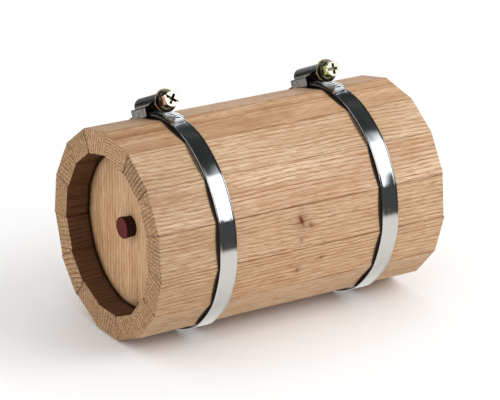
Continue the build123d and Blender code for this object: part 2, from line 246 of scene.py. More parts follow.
class Oak:
    """One board's wood, worked out in the nodes of its material."""

    def __init__(self, n, board, turn, upright):
        self.n = n
        self.board = board
        sockets = {"Vector": in_millimetres(n), "Axis": (1, 0, 0), "Angle": turn}
        place = n.make("VectorRotate", sockets, rotation_type="AXIS_ANGLE")
        if upright:
            sockets = {"Vector": place, "Axis": (0, 1, 0), "Angle": math.pi / 2}
            place = n.make("VectorRotate", sockets, rotation_type="AXIS_ANGLE")
        self.x, self.y, self.z = n.parts(place)
        self.shift = (board.seed * 37.0, board.seed * 11.0, board.seed * 5.0)
        self.seeded = n.vector("ADD", place, self.shift)
        facing = n.parts(n.make("NewGeometry", output=1))[2 if upright else 0]
        self.cut = n.smooth(n.unary("ABSOLUTE", facing), 0.8, 0.95)
        self.find_years()
        self.find_fibres()

    def find_years(self):
        """Years go by distance from the pith, bent by slow and quick wanderings."""
        n, board, seeded = self.n, self.board, self.seeded
        bend = n.centred(n.noise(seeded, (0.009, 0.02, 0.02)), 2.6)
        ripple = n.centred(n.noise(seeded, (0.035, 0.08, 0.08)), 0.5)
        shiver = n.centred(n.noise(seeded, (0.16, 0.35, 0.35)), 0.24)
        across, self.core = knot_shift(n, self.x, self.y, board.knots)
        across = n.add(across, n.times(self.x, board.slope))
        self.across = n.add(across, n.add(bend, n.add(ripple, shiver)))
        self.side = n.subtract(self.across, board.pith[0])
        self.rise = n.subtract(self.z, board.pith[1])
        years = n.times(n.length(self.side, self.rise), 1 / board.ring)
        year = n.unary("FLOOR", years)
        share = n.unary("FRACT", years)
        luck = n.draw(n.add(year, board.seed))
        width = n.ramp(n.draw(n.add(year, board.seed + 50.5)), 0.0, 1.0, 0.3, 0.48)
        early = n.times(n.smooth(share, 0.0, 0.08), n.inverse(n.smooth(share, 0.1, width)))
        patchy = n.ramp(n.noise(seeded, (0.03, 0.12, 0.12)), 0.3, 0.7, 0.6, 1.0)
        self.early = n.times(early, n.times(n.ramp(luck, 0.0, 1.0, 0.6, 1.0), patchy))
        finer = n.unary("FRACT", n.add(n.times(years, 3.0), luck))
        self.finer = n.times(n.smooth(finer, 0.0, 0.3), n.inverse(n.smooth(finer, 0.4, 0.9)))

    def find_fibres(self):
        """Fibres, pores, and clouds of darker colour, which follow the grain."""
        n = self.n
        wander = n.make("CombineXYZ", {0: self.x, 1: self.across, 2: self.z})
        wander = n.vector("ADD", wander, self.shift)
        self.fibre = n.noise(wander, (0.02, 1.1, 1.1), 4.0, 0.75)
        self.silk = n.noise(wander, (0.12, 5.0, 5.0), 2.0, 0.6)
        ticks = n.noise(wander, (0.30, 2.3, 2.3), 2.0, 0.5)
        self.ticks = n.times(n.smooth(ticks, 0.54, 0.66), n.add(n.times(self.early, 0.7), 0.1))
        dashes = n.noise(n.vector("ADD", wander, (5, 3, 8)), (0.14, 1.8, 1.8), 1.0, 0.5)
        self.dashes = n.smooth(dashes, 0.52, 0.6)
        self.gaps = n.ramp(n.noise(wander, (0.06, 0.5, 0.5)), 0.36, 0.5, 0.6, 1.0)
        self.cloud = n.smooth(n.noise(self.seeded, (0.014, 0.07, 0.07), 2.0), 0.42, 0.68)

    def tinted(self, *screen):
        """A colour with this board's tint and tone."""
        values = [value * share for value, share in zip(screen, self.board.tint)]
        return srgb(*values, light_gain * self.board.tone)

    def outside(self):
        n = self.n
        line = self.tinted(150, 94, 46)
        middle = self.tinted(200, 158, 117)
        fibre = n.times(n.ramp(self.fibre, 0.34, 0.66), 0.75)
        colour = n.mix(fibre, self.tinted(250, 217, 181), middle)
        colour = n.mix(n.times(self.finer, 0.5), colour, middle)
        colour = n.mix(n.times(self.dashes, 0.5), colour, self.tinted(178, 122, 70))
        colour = n.mix(n.times(self.cloud, self.board.streaks), colour, self.tinted(178, 124, 77))
        colour = n.mix(n.times(n.times(self.early, self.gaps), self.board.lines), colour, line)
        colour = n.mix(n.times(n.ramp(self.silk, 0.5, 0.72), 0.4), colour, line)
        colour = n.mix(n.times(self.ticks, 0.85), colour, self.tinted(116, 72, 38))
        if self.core is not None:
            core = n.times(self.core, n.ramp(self.fibre, 0.3, 0.6, 0.55, 1.0))
            colour = n.mix(n.make("Clamp", {0: core}), colour, srgb(106, 56, 24, light_gain))
        return colour

    def with_ends(self, colour):
        """Sawn ends: greyer and darker, with open pores in rings and pale rays across."""
        n, early = self.n, self.early
        flat = n.vector("MULTIPLY", self.seeded, (0.02, 1.0, 1.0))
        self.dots = n.smooth(n.noise(flat, (1.0, 1.1, 1.1), 2.0, 0.7), 0.45, 0.56)
        self.saw = n.noise(self.seeded, (0.5, 0.25, 2.4), 2.0, 0.6)
        about_pith = n.make("Math", {0: self.side, 1: self.rise}, operation="ARCTAN2")
        sockets = {"W": n.times(about_pith, 150.0), "Scale": 1.0}
        rays = n.smooth(n.make("TexNoise", sockets, noise_dimensions="1D"), 0.52, 0.66)
        gain = light_gain * self.board.end_light
        pale = srgb(248, 199, 148, gain)
        dark = srgb(*self.board.end_ink, gain)
        rings = n.add(n.times(early, self.board.end_lines), n.times(self.finer, 0.35))
        end = n.mix(rings, pale, dark)
        pores = n.times(self.dots, n.add(n.times(early, 0.35), 0.52))
        end = n.mix(pores, end, srgb(66, 40, 23, gain))
        end = n.mix(n.times(rays, 0.3), end, pale)
        end = n.mix(n.times(n.ramp(self.saw, 0.4, 0.7), 0.18), end, dark)
        return n.mix(self.cut, colour, end)

    def with_darker_front(self, colour):
        """A stave is a little darker towards the front."""
        n = self.n
        towards_front = n.times(n.inverse(n.smooth(self.x, -70.0, -25.0)), 0.5)
        return n.mix(towards_front, colour, (0.74, 0.72, 0.68, 1), "MULTIPLY")

    def with_mouth_shade_and_joints(self, colour):
        """Painted shade makes a stave much darker inside the mouth; it is dirty along each joint.
        """
        n = self.n
        # Painted shade: the inner faces in the mouth are made much darker.
        inside = n.times(n.inverse(n.smooth(self.z, 38.0, 39.2)), n.inverse(self.cut))
        colour = n.mix(n.times(inside, 0.95), colour, (0.19, 0.11, 0.058, 1), "MULTIPLY")
        joint = n.subtract(n.times(self.z, rise_of_joint), n.unary("ABSOLUTE", self.y))
        broken = n.smooth(n.noise(self.seeded, (0.05, 0.6, 0.6)), 0.38, 0.6)
        broken = n.times(broken, n.ramp(self.x, -60.0, -20.0, 0.3, 1.0))
        darkening = n.times(n.inverse(n.smooth(joint, 0.3, 1.3)), broken)
        colour = n.mix(n.times(darkening, 0.35), colour, srgb(168, 112, 62, light_gain))
        crack = n.times(n.inverse(n.smooth(joint, 0.1, 0.35)), n.inverse(self.cut))
        crack = n.times(n.times(crack, broken), self.board.crack)
        colour = n.mix(crack, colour, srgb(70, 44, 24, light_gain))
        seam = n.times(n.inverse(n.smooth(joint, 0.2, 0.6)), self.cut)
        return n.mix(n.times(seam, self.board.seam), colour, srgb(38, 23, 14, light_gain))

    def with_hoop_shadows(self, colour):
        """Painted shadow on the oak under each hoop and just in front of it."""
        n = self.n
        # The painted shadow reaches further in front of a hoop where the hoop stands off a
        # stave's flat.
        standing_off = n.ramp(n.unary("ABSOLUTE", self.y), 2.0, 10.4, 1.05, 0.6)
        for hoop_x in hoop_middles:
            aside = n.subtract(self.x, hoop_x)
            left = n.add(aside, standing_off)
            left = n.smooth(left, -strip_half_width - 0.7, -strip_half_width + 0.15)
            right = n.inverse(n.edge(aside, strip_half_width, 0.2))
            darkening = n.times(n.times(left, right), self.board.darkening)
            colour = n.mix(darkening, colour, srgb(26, 17, 12, light_gain))
        return colour

    def with_rim_shade(self, colour):
        """Painted shade where a head meets the staves, and painted shadow in the gap at its rim.
        """
        n = self.n
        from_middle = n.length(self.x, self.y)
        rim_shade = n.smooth(n.add(from_middle, n.times(self.cloud, 1.5)), 32.5, 38.0)
        colour = n.mix(n.times(rim_shade, 0.65), colour, srgb(86, 54, 32, light_gain))
        # Painted shadow in the narrow gap between the head and the staves.
        gap_shadow = n.smooth(from_middle, 35.4, 37.3)
        return n.mix(n.times(gap_shadow, 0.85), colour, srgb(34, 20, 12, light_gain))

    def relief(self):
        """Height for the bump: fibres and pores outside, saw marks and pores on the ends."""
        n = self.n
        height = n.add(n.times(self.fibre, 0.45), n.times(self.silk, 0.2))
        height = n.subtract(height, n.add(n.times(self.ticks, 0.9), n.times(self.early, 0.35)))
        end_height = n.subtract(n.times(self.saw, 0.6), n.times(self.dots, 0.8))
        return n.add(n.times(height, n.inverse(self.cut)), n.times(end_height, self.cut))


def oak_material(name, board, turn=0.0, upright=False):
    """
    Bare sanded oak. turn, in radians about X, brings a stave's outside to local +Z.
    The board of a head is upright: its grain runs up and down.
    """
    material, n, shader = new_material(name, Specular_IOR_Level=0.28)
    oak = Oak(n, board, turn, upright)
    colour = oak.outside()
    if upright:
        colour = oak.with_rim_shade(oak.with_ends(colour))
    else:
        colour = oak.with_ends(oak.with_darker_front(colour))
        colour = oak.with_hoop_shadows(oak.with_mouth_shade_and_joints(colour))
    rough = n.ramp(oak.fibre, 0.3, 0.7, 0.52, 0.68)
    finish_material(n, shader, colour, rough, oak.relief(), 0.10, 0.75)
    return material


# ---------------------------------------------------------------- rubber and metals

hoop_radius = 50.5

# Where a clamp's colours change: from its screw's axis, or along it towards the head.
bore_edge = 3.85
channel_wall = 4.8
channel_roof = -2.5
tunnel_mouth = 17.05
shank_end = 17.6
flange_foot = 4.1
flange_rim = 5.375
head_corner = 4.125
slot_edge = 3.1
recess_edge = 2.75
recess_mouth = 24.4


def rubber_material():
    """Dull red rubber, dusty, with painted shade on the sides of the plug."""
    material, n, shader = new_material("stopper_rubber", Specular_IOR_Level=0.2)
    place = in_millimetres(n)
    cloud = n.noise(place, (0.35, 0.35, 0.35), 3.0)
    speck = n.noise(place, (5.0, 5.0, 5.0), 2.0)
    colour = n.mix(n.ramp(cloud, 0.35, 0.7), srgb(92, 26, 20), srgb(112, 40, 33))
    dust = n.smooth(speck, 0.6, 0.75)
    colour = n.mix(n.times(dust, 0.25), colour, srgb(140, 78, 68))
    # Painted shade: the sides of the plug are made much darker than its face.
    facing = n.parts(n.make("NewGeometry", output=1))[0]
    side = n.inverse(n.smooth(n.unary("ABSOLUTE", facing), 0.35, 0.8))
    colour = n.mix(n.times(side, 0.9), colour, srgb(32, 8, 5))
    rough = n.ramp(cloud, 0.3, 0.7, 0.5, 0.72)
    finish_material(n, shader, colour, rough, speck, 0.04, 0.5)
    return material


def round_the_keg(n, place):
    """x, and the millimetres round the hoop from +Y towards +Z."""
    x, y, z = n.parts(place)
    angle = n.make("Math", {0: z, 1: y}, operation="ARCTAN2")
    return x, n.times(angle, hoop_radius)


def in_clamp(n, place, hoop_x):
    """Millimetres to the side of a clamp's screw, along it towards its head, and outwards."""
    sockets = {"Vector": place, "Axis": (1, 0, 0), "Angle": math.radians(90 - clamp_angle)}
    x, y, z = n.parts(n.make("VectorRotate", sockets, rotation_type="AXIS_ANGLE"))
    return n.subtract(x, hoop_x), n.times(y, -1.0), n.subtract(z, screw_height)


def towards_head(n, facing):
    """How far a surface faces the way that a clamp's screw head points."""
    turn = math.radians(clamp_angle)
    return n.vector("DOT_PRODUCT", facing, (0, -math.sin(turn), math.cos(turn)), output=1)


def strip_material(name, seed, polish):
    """Bright rolled strip: fine lines along it, a few scratches, dull sheared edges in painted
    shade.
    """
    material, n, shader = new_material(name, Metallic=1.0)
    place = in_millimetres(n)
    x, along = round_the_keg(n, place)
    rolled = n.make("CombineXYZ", {0: n.times(x, 9.0), 1: n.times(along, 0.02), 2: seed})
    lines = n.make("TexNoise", {"Vector": rolled, "Scale": 1.0, "Detail": 3.0, "Roughness": 0.7})
    slow = n.make("CombineXYZ", {0: n.times(x, 0.5), 1: n.times(along, 0.09), 2: seed + 9.0})
    smear = n.make("TexNoise", {"Vector": slow, "Scale": 1.0, "Detail": 3.0})
    spots = n.noise(place, (0.8, 0.8, 0.8), 4.0, 0.7)
    scratch = n.noise(place, (1.1, 5.0, 0.6), 2.0)
    scratch = n.times(n.smooth(scratch, 0.68, 0.72), 0.6)
    colour = n.mix(n.ramp(lines, 0.3, 0.7), (0.80, 0.80, 0.81, 1), (0.70, 0.70, 0.71, 1))
    # The sheared edges are duller, and their colour is painted near-black as shade.
    facing = n.parts(n.make("NewGeometry", output=1))[0]
    sheared_and_shaded = n.smooth(n.unary("ABSOLUTE", facing), 0.86, 0.97)
    colour = n.mix(n.times(sheared_and_shaded, 0.95), colour, (0.03, 0.028, 0.026, 1))
    rough = n.ramp(smear, 0.3, 0.7, polish, polish + 0.07)
    rough = n.add(rough, n.times(n.smooth(spots, 0.6, 0.8), 0.1))
    rough = n.add(rough, n.add(n.times(scratch, 0.2), n.times(sheared_and_shaded, 0.25)))
    height = n.add(n.times(lines, 0.5), n.times(smear, 1.2))
    finish_material(n, shader, colour, rough, height, 0.012, 0.5)
    return material


def housing_material(name, seed, hoop_x):
    """Pressed steel: draw marks across the tunnel, duller where it was bent, painted shade
    inside.
    """
    material, n, shader = new_material(name, Metallic=1.0)
    place = in_millimetres(n)
    side, along, up = in_clamp(n, place, hoop_x)
    place = n.make("CombineXYZ", {0: n.add(side, seed * 13.0), 1: along, 2: up})
    marks = n.noise(place, (0.25, 5.5, 0.25), 3.0, 0.65)
    cloud = n.noise(place, (0.45, 0.45, 0.45), 3.0)
    fine = n.noise(place, (6.0, 6.0, 6.0), 2.0)
    colour = n.mix(n.ramp(marks, 0.3, 0.72), (0.50, 0.49, 0.47, 1), (0.24, 0.235, 0.23, 1))
    colour = n.mix(n.times(n.smooth(cloud, 0.45, 0.75), 0.45), colour, (0.15, 0.145, 0.14, 1))
    # Painted shade: the bore, the channel under the roof and the tunnel's mouth are near-black.
    bore = n.inverse(n.edge(n.length(side, up), bore_edge, 0.1))
    below = n.inverse(n.edge(up, channel_roof, 0.1))
    channel = n.inverse(n.edge(n.unary("ABSOLUTE", side), channel_wall, 0.1))
    ahead = n.smooth(towards_head(n, n.make("NewGeometry", output=1)), 0.2, 0.5)
    mouth = n.times(ahead, n.inverse(n.edge(along, tunnel_mouth, 0.25)))
    inside = n.largest(n.largest(bore, n.times(channel, below)), n.times(mouth, 0.8))
    colour = n.mix(n.times(inside, 0.95), colour, (0.03, 0.026, 0.022, 1))
    rough = n.add(n.ramp(cloud, 0.3, 0.7, 0.2, 0.34), n.times(marks, 0.08))
    rough = n.add(rough, n.times(inside, 0.3))
    height = n.add(marks, n.times(fine, 0.3))
    finish_material(n, shader, colour, rough, height, 0.03, 0.55)
    return material


def plating_material(name, seed, tint, hoop_x):
    """Yellow zinc plating: patches of other tints, painted reflection and highlight, painted
    shade on the shank.
    """
    material, n, shader = new_material(name, Metallic=1.0)
    side, along, up = in_clamp(n, in_millimetres(n), hoop_x)
    place = n.make("CombineXYZ", {0: side, 1: n.add(along, seed * 17.0), 2: up})
    film = n.noise(place, (0.28, 0.28, 0.28), 2.0)
    film_other = n.noise(n.vector("ADD", place, (40, 9, 3)), (0.4, 0.4, 0.4), 2.0)
    fine = n.noise(place, (4.0, 4.0, 4.0), 3.0, 0.6)
    turned = n.noise(place, (0.4, 7.0, 0.4), 2.0)
    colour = n.mix(n.smooth(film, 0.38, 0.62), (0.86, 0.74, 0.46, 1), (0.74, 0.70, 0.42, 1))
    colour = n.mix(n.times(n.smooth(film_other, 0.45, 0.65), 0.4), colour, tint)
    colour = n.mix(n.times(n.smooth(fine, 0.55, 0.75), 0.3), colour, (0.45, 0.36, 0.20, 1))

    facing = n.make("NewGeometry", output=1)
    # The tint is painted again on faces turned to -X, as a painted reflection.
    leftward_reflection = n.smooth(n.times(n.parts(facing)[0], -1.0), 0.45, 0.8)
    colour = n.mix(n.times(leftward_reflection, 0.9), colour, tint)
    ahead = towards_head(n, facing)
    radius = n.length(side, up)
    on_head = n.inverse(n.edge(radius, head_corner, 0.075))
    # Painted highlight: the head's face is made near-white.
    face_highlight = n.times(n.smooth(ahead, 0.75, 0.95), on_head)
    colour = n.mix(n.times(face_highlight, 0.85), colour, (1.0, 0.97, 0.84, 1))
    # Painted shade: the cross recess and the slot are dark brown.
    in_recess = n.inverse(n.edge(radius, recess_edge, 0.15))
    in_recess = n.times(in_recess, n.inverse(n.edge(along, recess_mouth, 0.2)))
    in_slot = n.inverse(n.smooth(ahead, 0.2, 0.5))
    in_slot = n.times(in_slot, n.inverse(n.edge(radius, slot_edge, 0.1)))
    colour = n.mix(n.times(n.largest(in_recess, in_slot), 0.85), colour, (0.20, 0.12, 0.04, 1))
    # Painted shade: the flange round the head is dark.
    flange_shade = n.inverse(n.edge(radius, flange_rim, 0.125))
    flange_shade = n.times(n.edge(radius, flange_foot, 0.15), flange_shade)
    colour = n.mix(n.times(flange_shade, 0.9), colour, (0.11, 0.08, 0.05, 1))
    # Painted shade: the shank is near-black, and it is duller.
    shaded_shank = n.inverse(n.edge(along, shank_end, 0.3))
    colour = n.mix(n.times(shaded_shank, 0.93), colour, (0.03, 0.025, 0.018, 1))
    rough = n.add(n.ramp(fine, 0.3, 0.7, 0.14, 0.28), n.times(shaded_shank, 0.25))
    height = n.add(n.times(fine, 0.6), n.times(turned, 0.5))
    finish_material(n, shader, colour, rough, height, 0.02, 0.5)
    return material


# ---------------------------------------------------------------- mesh helpers


def add_piece(name, mesh, node, body):
    """Puts a mesh in the scene, in place of a CAD node and moving with its body."""
    piece = bpy.data.objects.new(name, mesh)
    bpy.context.scene.collection.objects.link(piece)
    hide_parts(node)
    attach(piece, body)
    return piece


def new_piece(name, points, faces, material, node, body):
    """A mesh object from points in millimetres, standing for one CAD node."""
    mesh = bpy.data.meshes.new(name)
    mesh.from_pydata([tuple(Vector(point) * MM) for point in points], [], faces)
    bm = bmesh.new()
    bm.from_mesh(mesh)
    bmesh.ops.recalc_face_normals(bm, faces=bm.faces)
    for face in bm.faces:
        face.smooth = True
    bm.to_mesh(mesh)
    bm.free()
    mesh.materials.append(material)
    add_piece(name, mesh, node, body)


def spread(low, high, count, ends):
    """Evenly spaced values from low to high, with extra ones close to each end."""
    values = [low + (high - low) * i / count for i in range(count + 1)]
    for near in ends:
        values += [low + near, high - near]
    return sorted(values)


def soften(point, low, high, radius):
    """Moves a point on a box's surface to where the box's rounded edge would be."""
    inner = [min(max(p, a + radius), b - radius) for p, a, b in zip(point, low, high)]
    offset = Vector(point) - Vector(inner)
    if offset.length < 1e-9:
        return Vector(point)
    return Vector(inner) + offset.normalized() * radius


# ---------------------------------------------------------------- barrel

arris = 0.45  # the most that a stave's edges are rounded
edge_steps = (0.12, 0.3, 0.45, 0.8, 1.6)  # extra points, this far from each edge
groove_radius = 39.5
groove_start = 12.3  # from the keg's end to the groove's near and far walls
groove_end = 20.3
head_bevel = 3.0
head_segments = 120
stopper_taper = 0.1  # radius lost per millimetre of length


def stave_size(index):
    """
    A stave's x range, inner and outer flats, half its width inside, and its directions
    outwards and round the keg, read from its CAD mesh.
    """
    node = nodes["stave_%02d" % (index + 1)]
    middle = math.radians(first_corner + (index + 0.5) * stave_angle)
    out = Vector((0, math.cos(middle), math.sin(middle)))
    along = Vector((0, -math.sin(middle), math.cos(middle)))
    places = [vertex.co / MM - axis_centre for vertex in node.data.vertices]
    depths = [place.dot(out) for place in places]
    inner, outer = min(depths), max(depths)
    half = max(place.dot(along) for place in places if place.dot(out) < inner + 0.1)
    return min(p.x for p in places), max(p.x for p in places), inner, outer, half, out, along


def stave(index, material):
    """One board: rounded, slightly uneven edges, and the two grooves for the heads."""
    x_low, x_high, inner, outer, inner_half, out, along = stave_size(index)
    groove_walls = []
    for wall in (groove_start, groove_end):
        for x in (wall - half_length, half_length - wall):
            groove_walls += [x - 0.01, x + 0.01]
    xs = sorted(spread(x_low, x_high, 44, edge_steps) + groove_walls)
    us = spread(-1.0, 1.0, 10, [step / inner_half for step in edge_steps])
    vs = spread(inner, outer, 5, edge_steps[:4])
    shift = Vector((index * 31.7, 0, 0))

    def in_groove(x):
        return any(groove_start < half_length + end * x < groove_end for end in (1, -1))

    def place(x, share, v):
        floor = inner
        if in_groove(x):
            floor = math.sqrt(groove_radius**2 - (share * inner_half) ** 2)
            v = floor + (v - inner) * (outer - floor) / (outer - inner)
        half = inner_half + (v - inner) * rise_of_joint
        wear = 0.5 + noise.noise(Vector((x * 0.11, share * 3, v * 0.2)) + shift)
        radius = arris * min(1.0, max(0.45, 0.55 + 0.5 * wear))
        if not in_groove(x):
            point = (x, share * half, v)
            low = (x_low, -half, inner)
            high = (x_high, half, outer)
            x, u, v = soften(point, low, high, radius)
        else:
            u = share * half
            if share in (-1.0, 1.0) or v > outer - radius:
                low = (x_low, -half, floor - 1)
                x, u, v = soften((x, u, v), low, (x_high, half, outer), radius)
        ends = min(1.0, (x - x_low) / 2, (x_high - x) / 2)
        swell = noise.noise(Vector((x * 0.03, u * 0.09, v * 0.09)) + shift) * 0.07
        swell += noise.noise(Vector((x * 0.12, u * 0.4, v * 0.4)) + shift) * 0.025
        v += min(0.0, swell - 0.05) if v > (inner + outer) / 2 else 0.0
        if ends < 0.01:
            nick = noise.noise(Vector((u * 0.7, v * 0.7, x)) + shift) * 0.06
            x += (0.06 + nick) if x < 0 else -(0.06 + nick)
        return Vector((x, 0, 0)) + axis_centre + along * u + out * v

    count = (len(xs), len(us), len(vs))
    lookup = {}
    points = []

    def corner(i, j, k):
        key = (i, j, k)
        if key not in lookup:
            lookup[key] = len(points)
            points.append(place(xs[i], us[j], vs[k]))
        return lookup[key]

    def square(i, j, k, first, second):
        """A face from one grid point, one step along each of two directions."""
        (a, b, c), (d, e, f) = first, second
        return (
            corner(i, j, k), corner(i + a, j + b, k + c),
            corner(i + a + d, j + b + e, k + c + f), corner(i + d, j + e, k + f),
        )

    along_x, along_u, along_v = (1, 0, 0), (0, 1, 0), (0, 0, 1)
    faces = []
    for i in range(count[0] - 1):
        for j in range(count[1] - 1):
            for k in (0, count[2] - 1):
                faces.append(square(i, j, k, along_x, along_u))
        for k in range(count[2] - 1):
            for j in (0, count[1] - 1):
                faces.append(square(i, j, k, along_x, along_v))
    for j in range(count[1] - 1):
        for k in range(count[2] - 1):
            for i in (0, count[0] - 1):
                faces.append(square(i, j, k, along_u, along_v))
    name = "stave_%02d" % (index + 1)
    new_piece(name + "_board", points, faces, material, name, "keg")


# Each board's pith direction and distance, year width, slope, tone and tint.
stave_cuts = [
    (205, 60, 1.9, 0.010, 0.90, (1.0, 1.0, 1.01)),
    (262, 48, 1.5, -0.012, 0.93, (0.98, 0.965, 0.94)),
    (190, 70, 2.0, 0.016, 0.98, (0.99, 1.025, 1.055)),
    (172, 80, 2.0, 0.012, 0.96, (1.0, 1.03, 1.075)),
    (8, 75, 1.9, 0.014, 0.88, (1.0, 1.01, 1.01)),
    (186, 90, 2.0, 0.004, 0.91, (1.0, 1.0, 0.985)),
    (176, 64, 2.1, 0.016, 0.99, (0.995, 1.01, 1.02)),
    (350, 70, 2.0, -0.010, 0.95, (1.0, 1.0, 1.02)),
    (200, 58, 2.2, 0.012, 0.98, (1.0, 0.99, 0.98)),
    (160, 66, 1.8, -0.015, 0.94, (1.0, 1.0, 1.0)),
    (20, 74, 2.3, 0.010, 1.0, (1.0, 0.99, 0.97)),
    (182, 82, 2.1, 0.014, 0.96, (1.0, 1.0, 1.01)),
    (255, 50, 1.7, -0.008, 0.95, (1.0, 0.99, 0.98)),
    (340, 62, 2.2, 0.016, 0.99, (1.0, 1.0, 0.99)),
    (175, 72, 2.0, 0.010, 0.93, (1.0, 0.99, 0.97)),
]

# What sets some boards apart. A knot is its x, its distance across, and its size.
stave_features = {
    0: {"end_light": 1.0},
    1: {"end_light": 1.0, "streaks": 0.6, "lines": 0.7},
    2: {
        "end_light": 0.8, "end_lines": 1.4, "end_ink": (74, 48, 29),
        "streaks": 0.3, "darkening": 0.6,
    },
    3: {"streaks": 0.4, "crack": 0.85},
    4: {"crack": 0.85, "knots": ((-2.8, 3.0, 1.2), (2.3, 0.7, 0.6), (-3.4, -6.0, 0.5))},
    5: {"knots": ((-3.5, -1.7, 0.6), (9.0, 2.5, 0.45))},
    14: {"seam": 0.95},
}


def make_barrel():
    for index, cut in enumerate(stave_cuts):
        board = Board(index + 1, *cut, **stave_features.get(index, {}))
        turn = math.radians(90 - first_corner - (index + 0.5) * stave_angle)
        stave(index, oak_material("oak_board_%02d" % (index + 1), board, turn))


def rounded(corners, radius, steps=3):
    """A profile of (x, r) corners with each inner corner rounded by a small arc."""
    result = [corners[0]]
    for before, here, after in zip(corners, corners[1:], corners[2:]):
        here_v, before_v, after_v = Vector(here), Vector(before), Vector(after)
        reach = min(radius, 0.45 * (before_v - here_v).length, 0.45 * (after_v - here_v).length)
        start = here_v + (before_v - here_v).normalized() * reach
        stop = here_v + (after_v - here_v).normalized() * reach
        for step in range(steps + 1):
            t = step / steps
            point = start * (1 - t) ** 2 + here_v * 2 * t * (1 - t) + stop * t**2
            result.append(tuple(point))
    result.append(corners[-1])
    return result


def revolve(corners, radius, segments, centre):
    """Points and faces of a closed solid turned about an axis along X through centre."""
    profile = rounded(corners, radius)
    dense = []
    for (x0, r0), (x1, r1) in zip(profile, profile[1:]):
        pieces = max(1, int(math.hypot(x1 - x0, r1 - r0) / 2.5))
        for i in range(pieces):
            t = i / pieces
            dense.append((x0 + (x1 - x0) * t, r0 + (r1 - r0) * t))
    dense.append(profile[-1])
    points = []
    faces = []
    rows = []
    for x, r in dense:
        if r < 1e-6:
            rows.append([len(points)] * segments)
            points.append((x, centre[0], centre[1]))
            continue
        row = []
        for step in range(segments):
            angle = 2 * math.pi * step / segments
            row.append(len(points))
            points.append((x, centre[0] + r * math.cos(angle), centre[1] + r * math.sin(angle)))
        rows.append(row)
    for row, following in zip(rows, rows[1:]):
        for step in range(segments):
            after = (step + 1) % segments
            corners_here = [row[step], row[after], following[after], following[step]]
            unique = list(dict.fromkeys(corners_here))
            if len(unique) > 2:
                faces.append(tuple(unique))
    return points, faces


def make_head(name, seed, pith_angle, disc):
    tint = (1.02, 1.01, 0.965)
    board = Board(seed, pith_angle, 90, 2.6, 0.006, 1.14, tint, lines=0.8, streaks=0.25)
    material = oak_material("oak_" + name, board, upright=True)
    low, high = box_mm(name)
    points, faces = disc(low.x, high.x, (high.y - low.y) / 2)
    points = [uneven(point, seed) for point in points]
    new_piece(name + "_board", points, faces, material, name, "keg")


def make_heads():
    make_head("front_head", 21, 20, holed_disc)
    make_head("rear_head", 22, 160, whole_disc)


def whole_disc(inner, outer, radius):
    """The rear head: a disc with both edges bevelled, to fit the groove."""
    bevel = head_bevel
    corners = [(outer, 0.0), (outer, radius - bevel), (outer - bevel, radius)]
    corners += [(inner + bevel, radius), (inner, radius - bevel), (inner, 0.0)]
    return revolve(corners, 0.5, head_segments, (0.0, axis_height))


def uneven(point, seed):
    """Sanded wood is never quite flat: a few hundredths in, along X."""
    x, y, z = point
    swell = 0.04 * noise.noise(Vector((y * 0.08, z * 0.03, seed)))
    middle = 0.02
    return (x + (swell - middle if x > 0 else swell + middle), y, z)


def holed_disc(outer, inner, radius):
    """The front head: a disc with the stopper's tapered hole off its middle."""
    plug_low, plug_high = box_mm("stopper")
    hole_y = (plug_low.y + plug_high.y) / 2
    hole_z = (plug_low.z + plug_high.z) / 2
    plug_radius = (plug_high.y - plug_low.y) / 2
    clearance = 0.09
    hole_out = plug_radius - stopper_taper * (outer - plug_low.x) + clearance
    hole_in = hole_out - stopper_taper * (inner - outer)
    soft = 0.35
    bevel = head_bevel
    # Each ring: x, radius, and how far its centre has moved from the hole to the disc.
    rings = [(inner, hole_in, 0.0), (outer + soft, hole_out, 0.0)]
    rings += [(outer + soft * 0.3, hole_out + soft * 0.3, 0.0), (outer, hole_out + soft, 0.0)]
    for share in (0.12, 0.3, 0.5, 0.7, 0.86, 0.96):
        start, stop = hole_out + soft, radius - bevel - 0.5
        rings.append((outer, start + (stop - start) * share, share))
    rings += [(outer, radius - bevel - 0.5, 1.0), (outer + 0.12, radius - bevel - 0.12, 1.0)]
    rings += [(outer + 0.5, radius - bevel + 0.5, 1.0), (outer + bevel - 0.2, radius - 0.2, 1.0)]
    rings += [(outer + bevel + 0.2, radius, 1.0), (inner - bevel - 0.2, radius, 1.0)]
    rings += [(inner - bevel + 0.2, radius - 0.2, 1.0), (inner - 0.3, radius - bevel + 0.3, 1.0)]
    rings += [(inner, radius - bevel - 0.4, 1.0), (inner, (radius + hole_in) / 2, 0.5)]
    segments = head_segments
    points = []
    for x, ring_radius, share in rings:
        y = hole_y * (1 - share)
        z = hole_z * (1 - share) + axis_height * share
        for step in range(segments):
            a = 2 * math.pi * step / segments
            points.append((x, y + ring_radius * math.cos(a), z + ring_radius * math.sin(a)))
    faces = []
    for ring in range(len(rings)):
        following = (ring + 1) % len(rings)
        for step in range(segments):
            after = (step + 1) % segments
            a, b = ring * segments, following * segments
            faces.append((a + step, a + after, b + after, b + step))
    return points, faces


def make_stopper():
    low, high = box_mm("stopper")
    centre = ((low.y + high.y) / 2, (low.z + high.z) / 2)
    wide = (high.y - low.y) / 2
    narrow = wide - stopper_taper * (high.x - low.x)
    # The face is slightly dished inside a raised rim.
    corners = [(low.x + 0.12, 0.0), (low.x + 0.1, wide - 1.3)]
    corners += [(low.x, wide - 0.9), (low.x, wide - 0.25), (low.x + 0.4, wide - 0.02)]
    corners += [(high.x - 0.4, narrow + 0.02), (high.x, narrow - 0.4), (high.x, 0.0)]
    points, faces = revolve(corners, 0.35, 72, centre)
    rubber = rubber_material()
    new_piece("stopper_plug", points, faces, rubber, "stopper", "stopper")


# ---------------------------------------------------------------- hoops

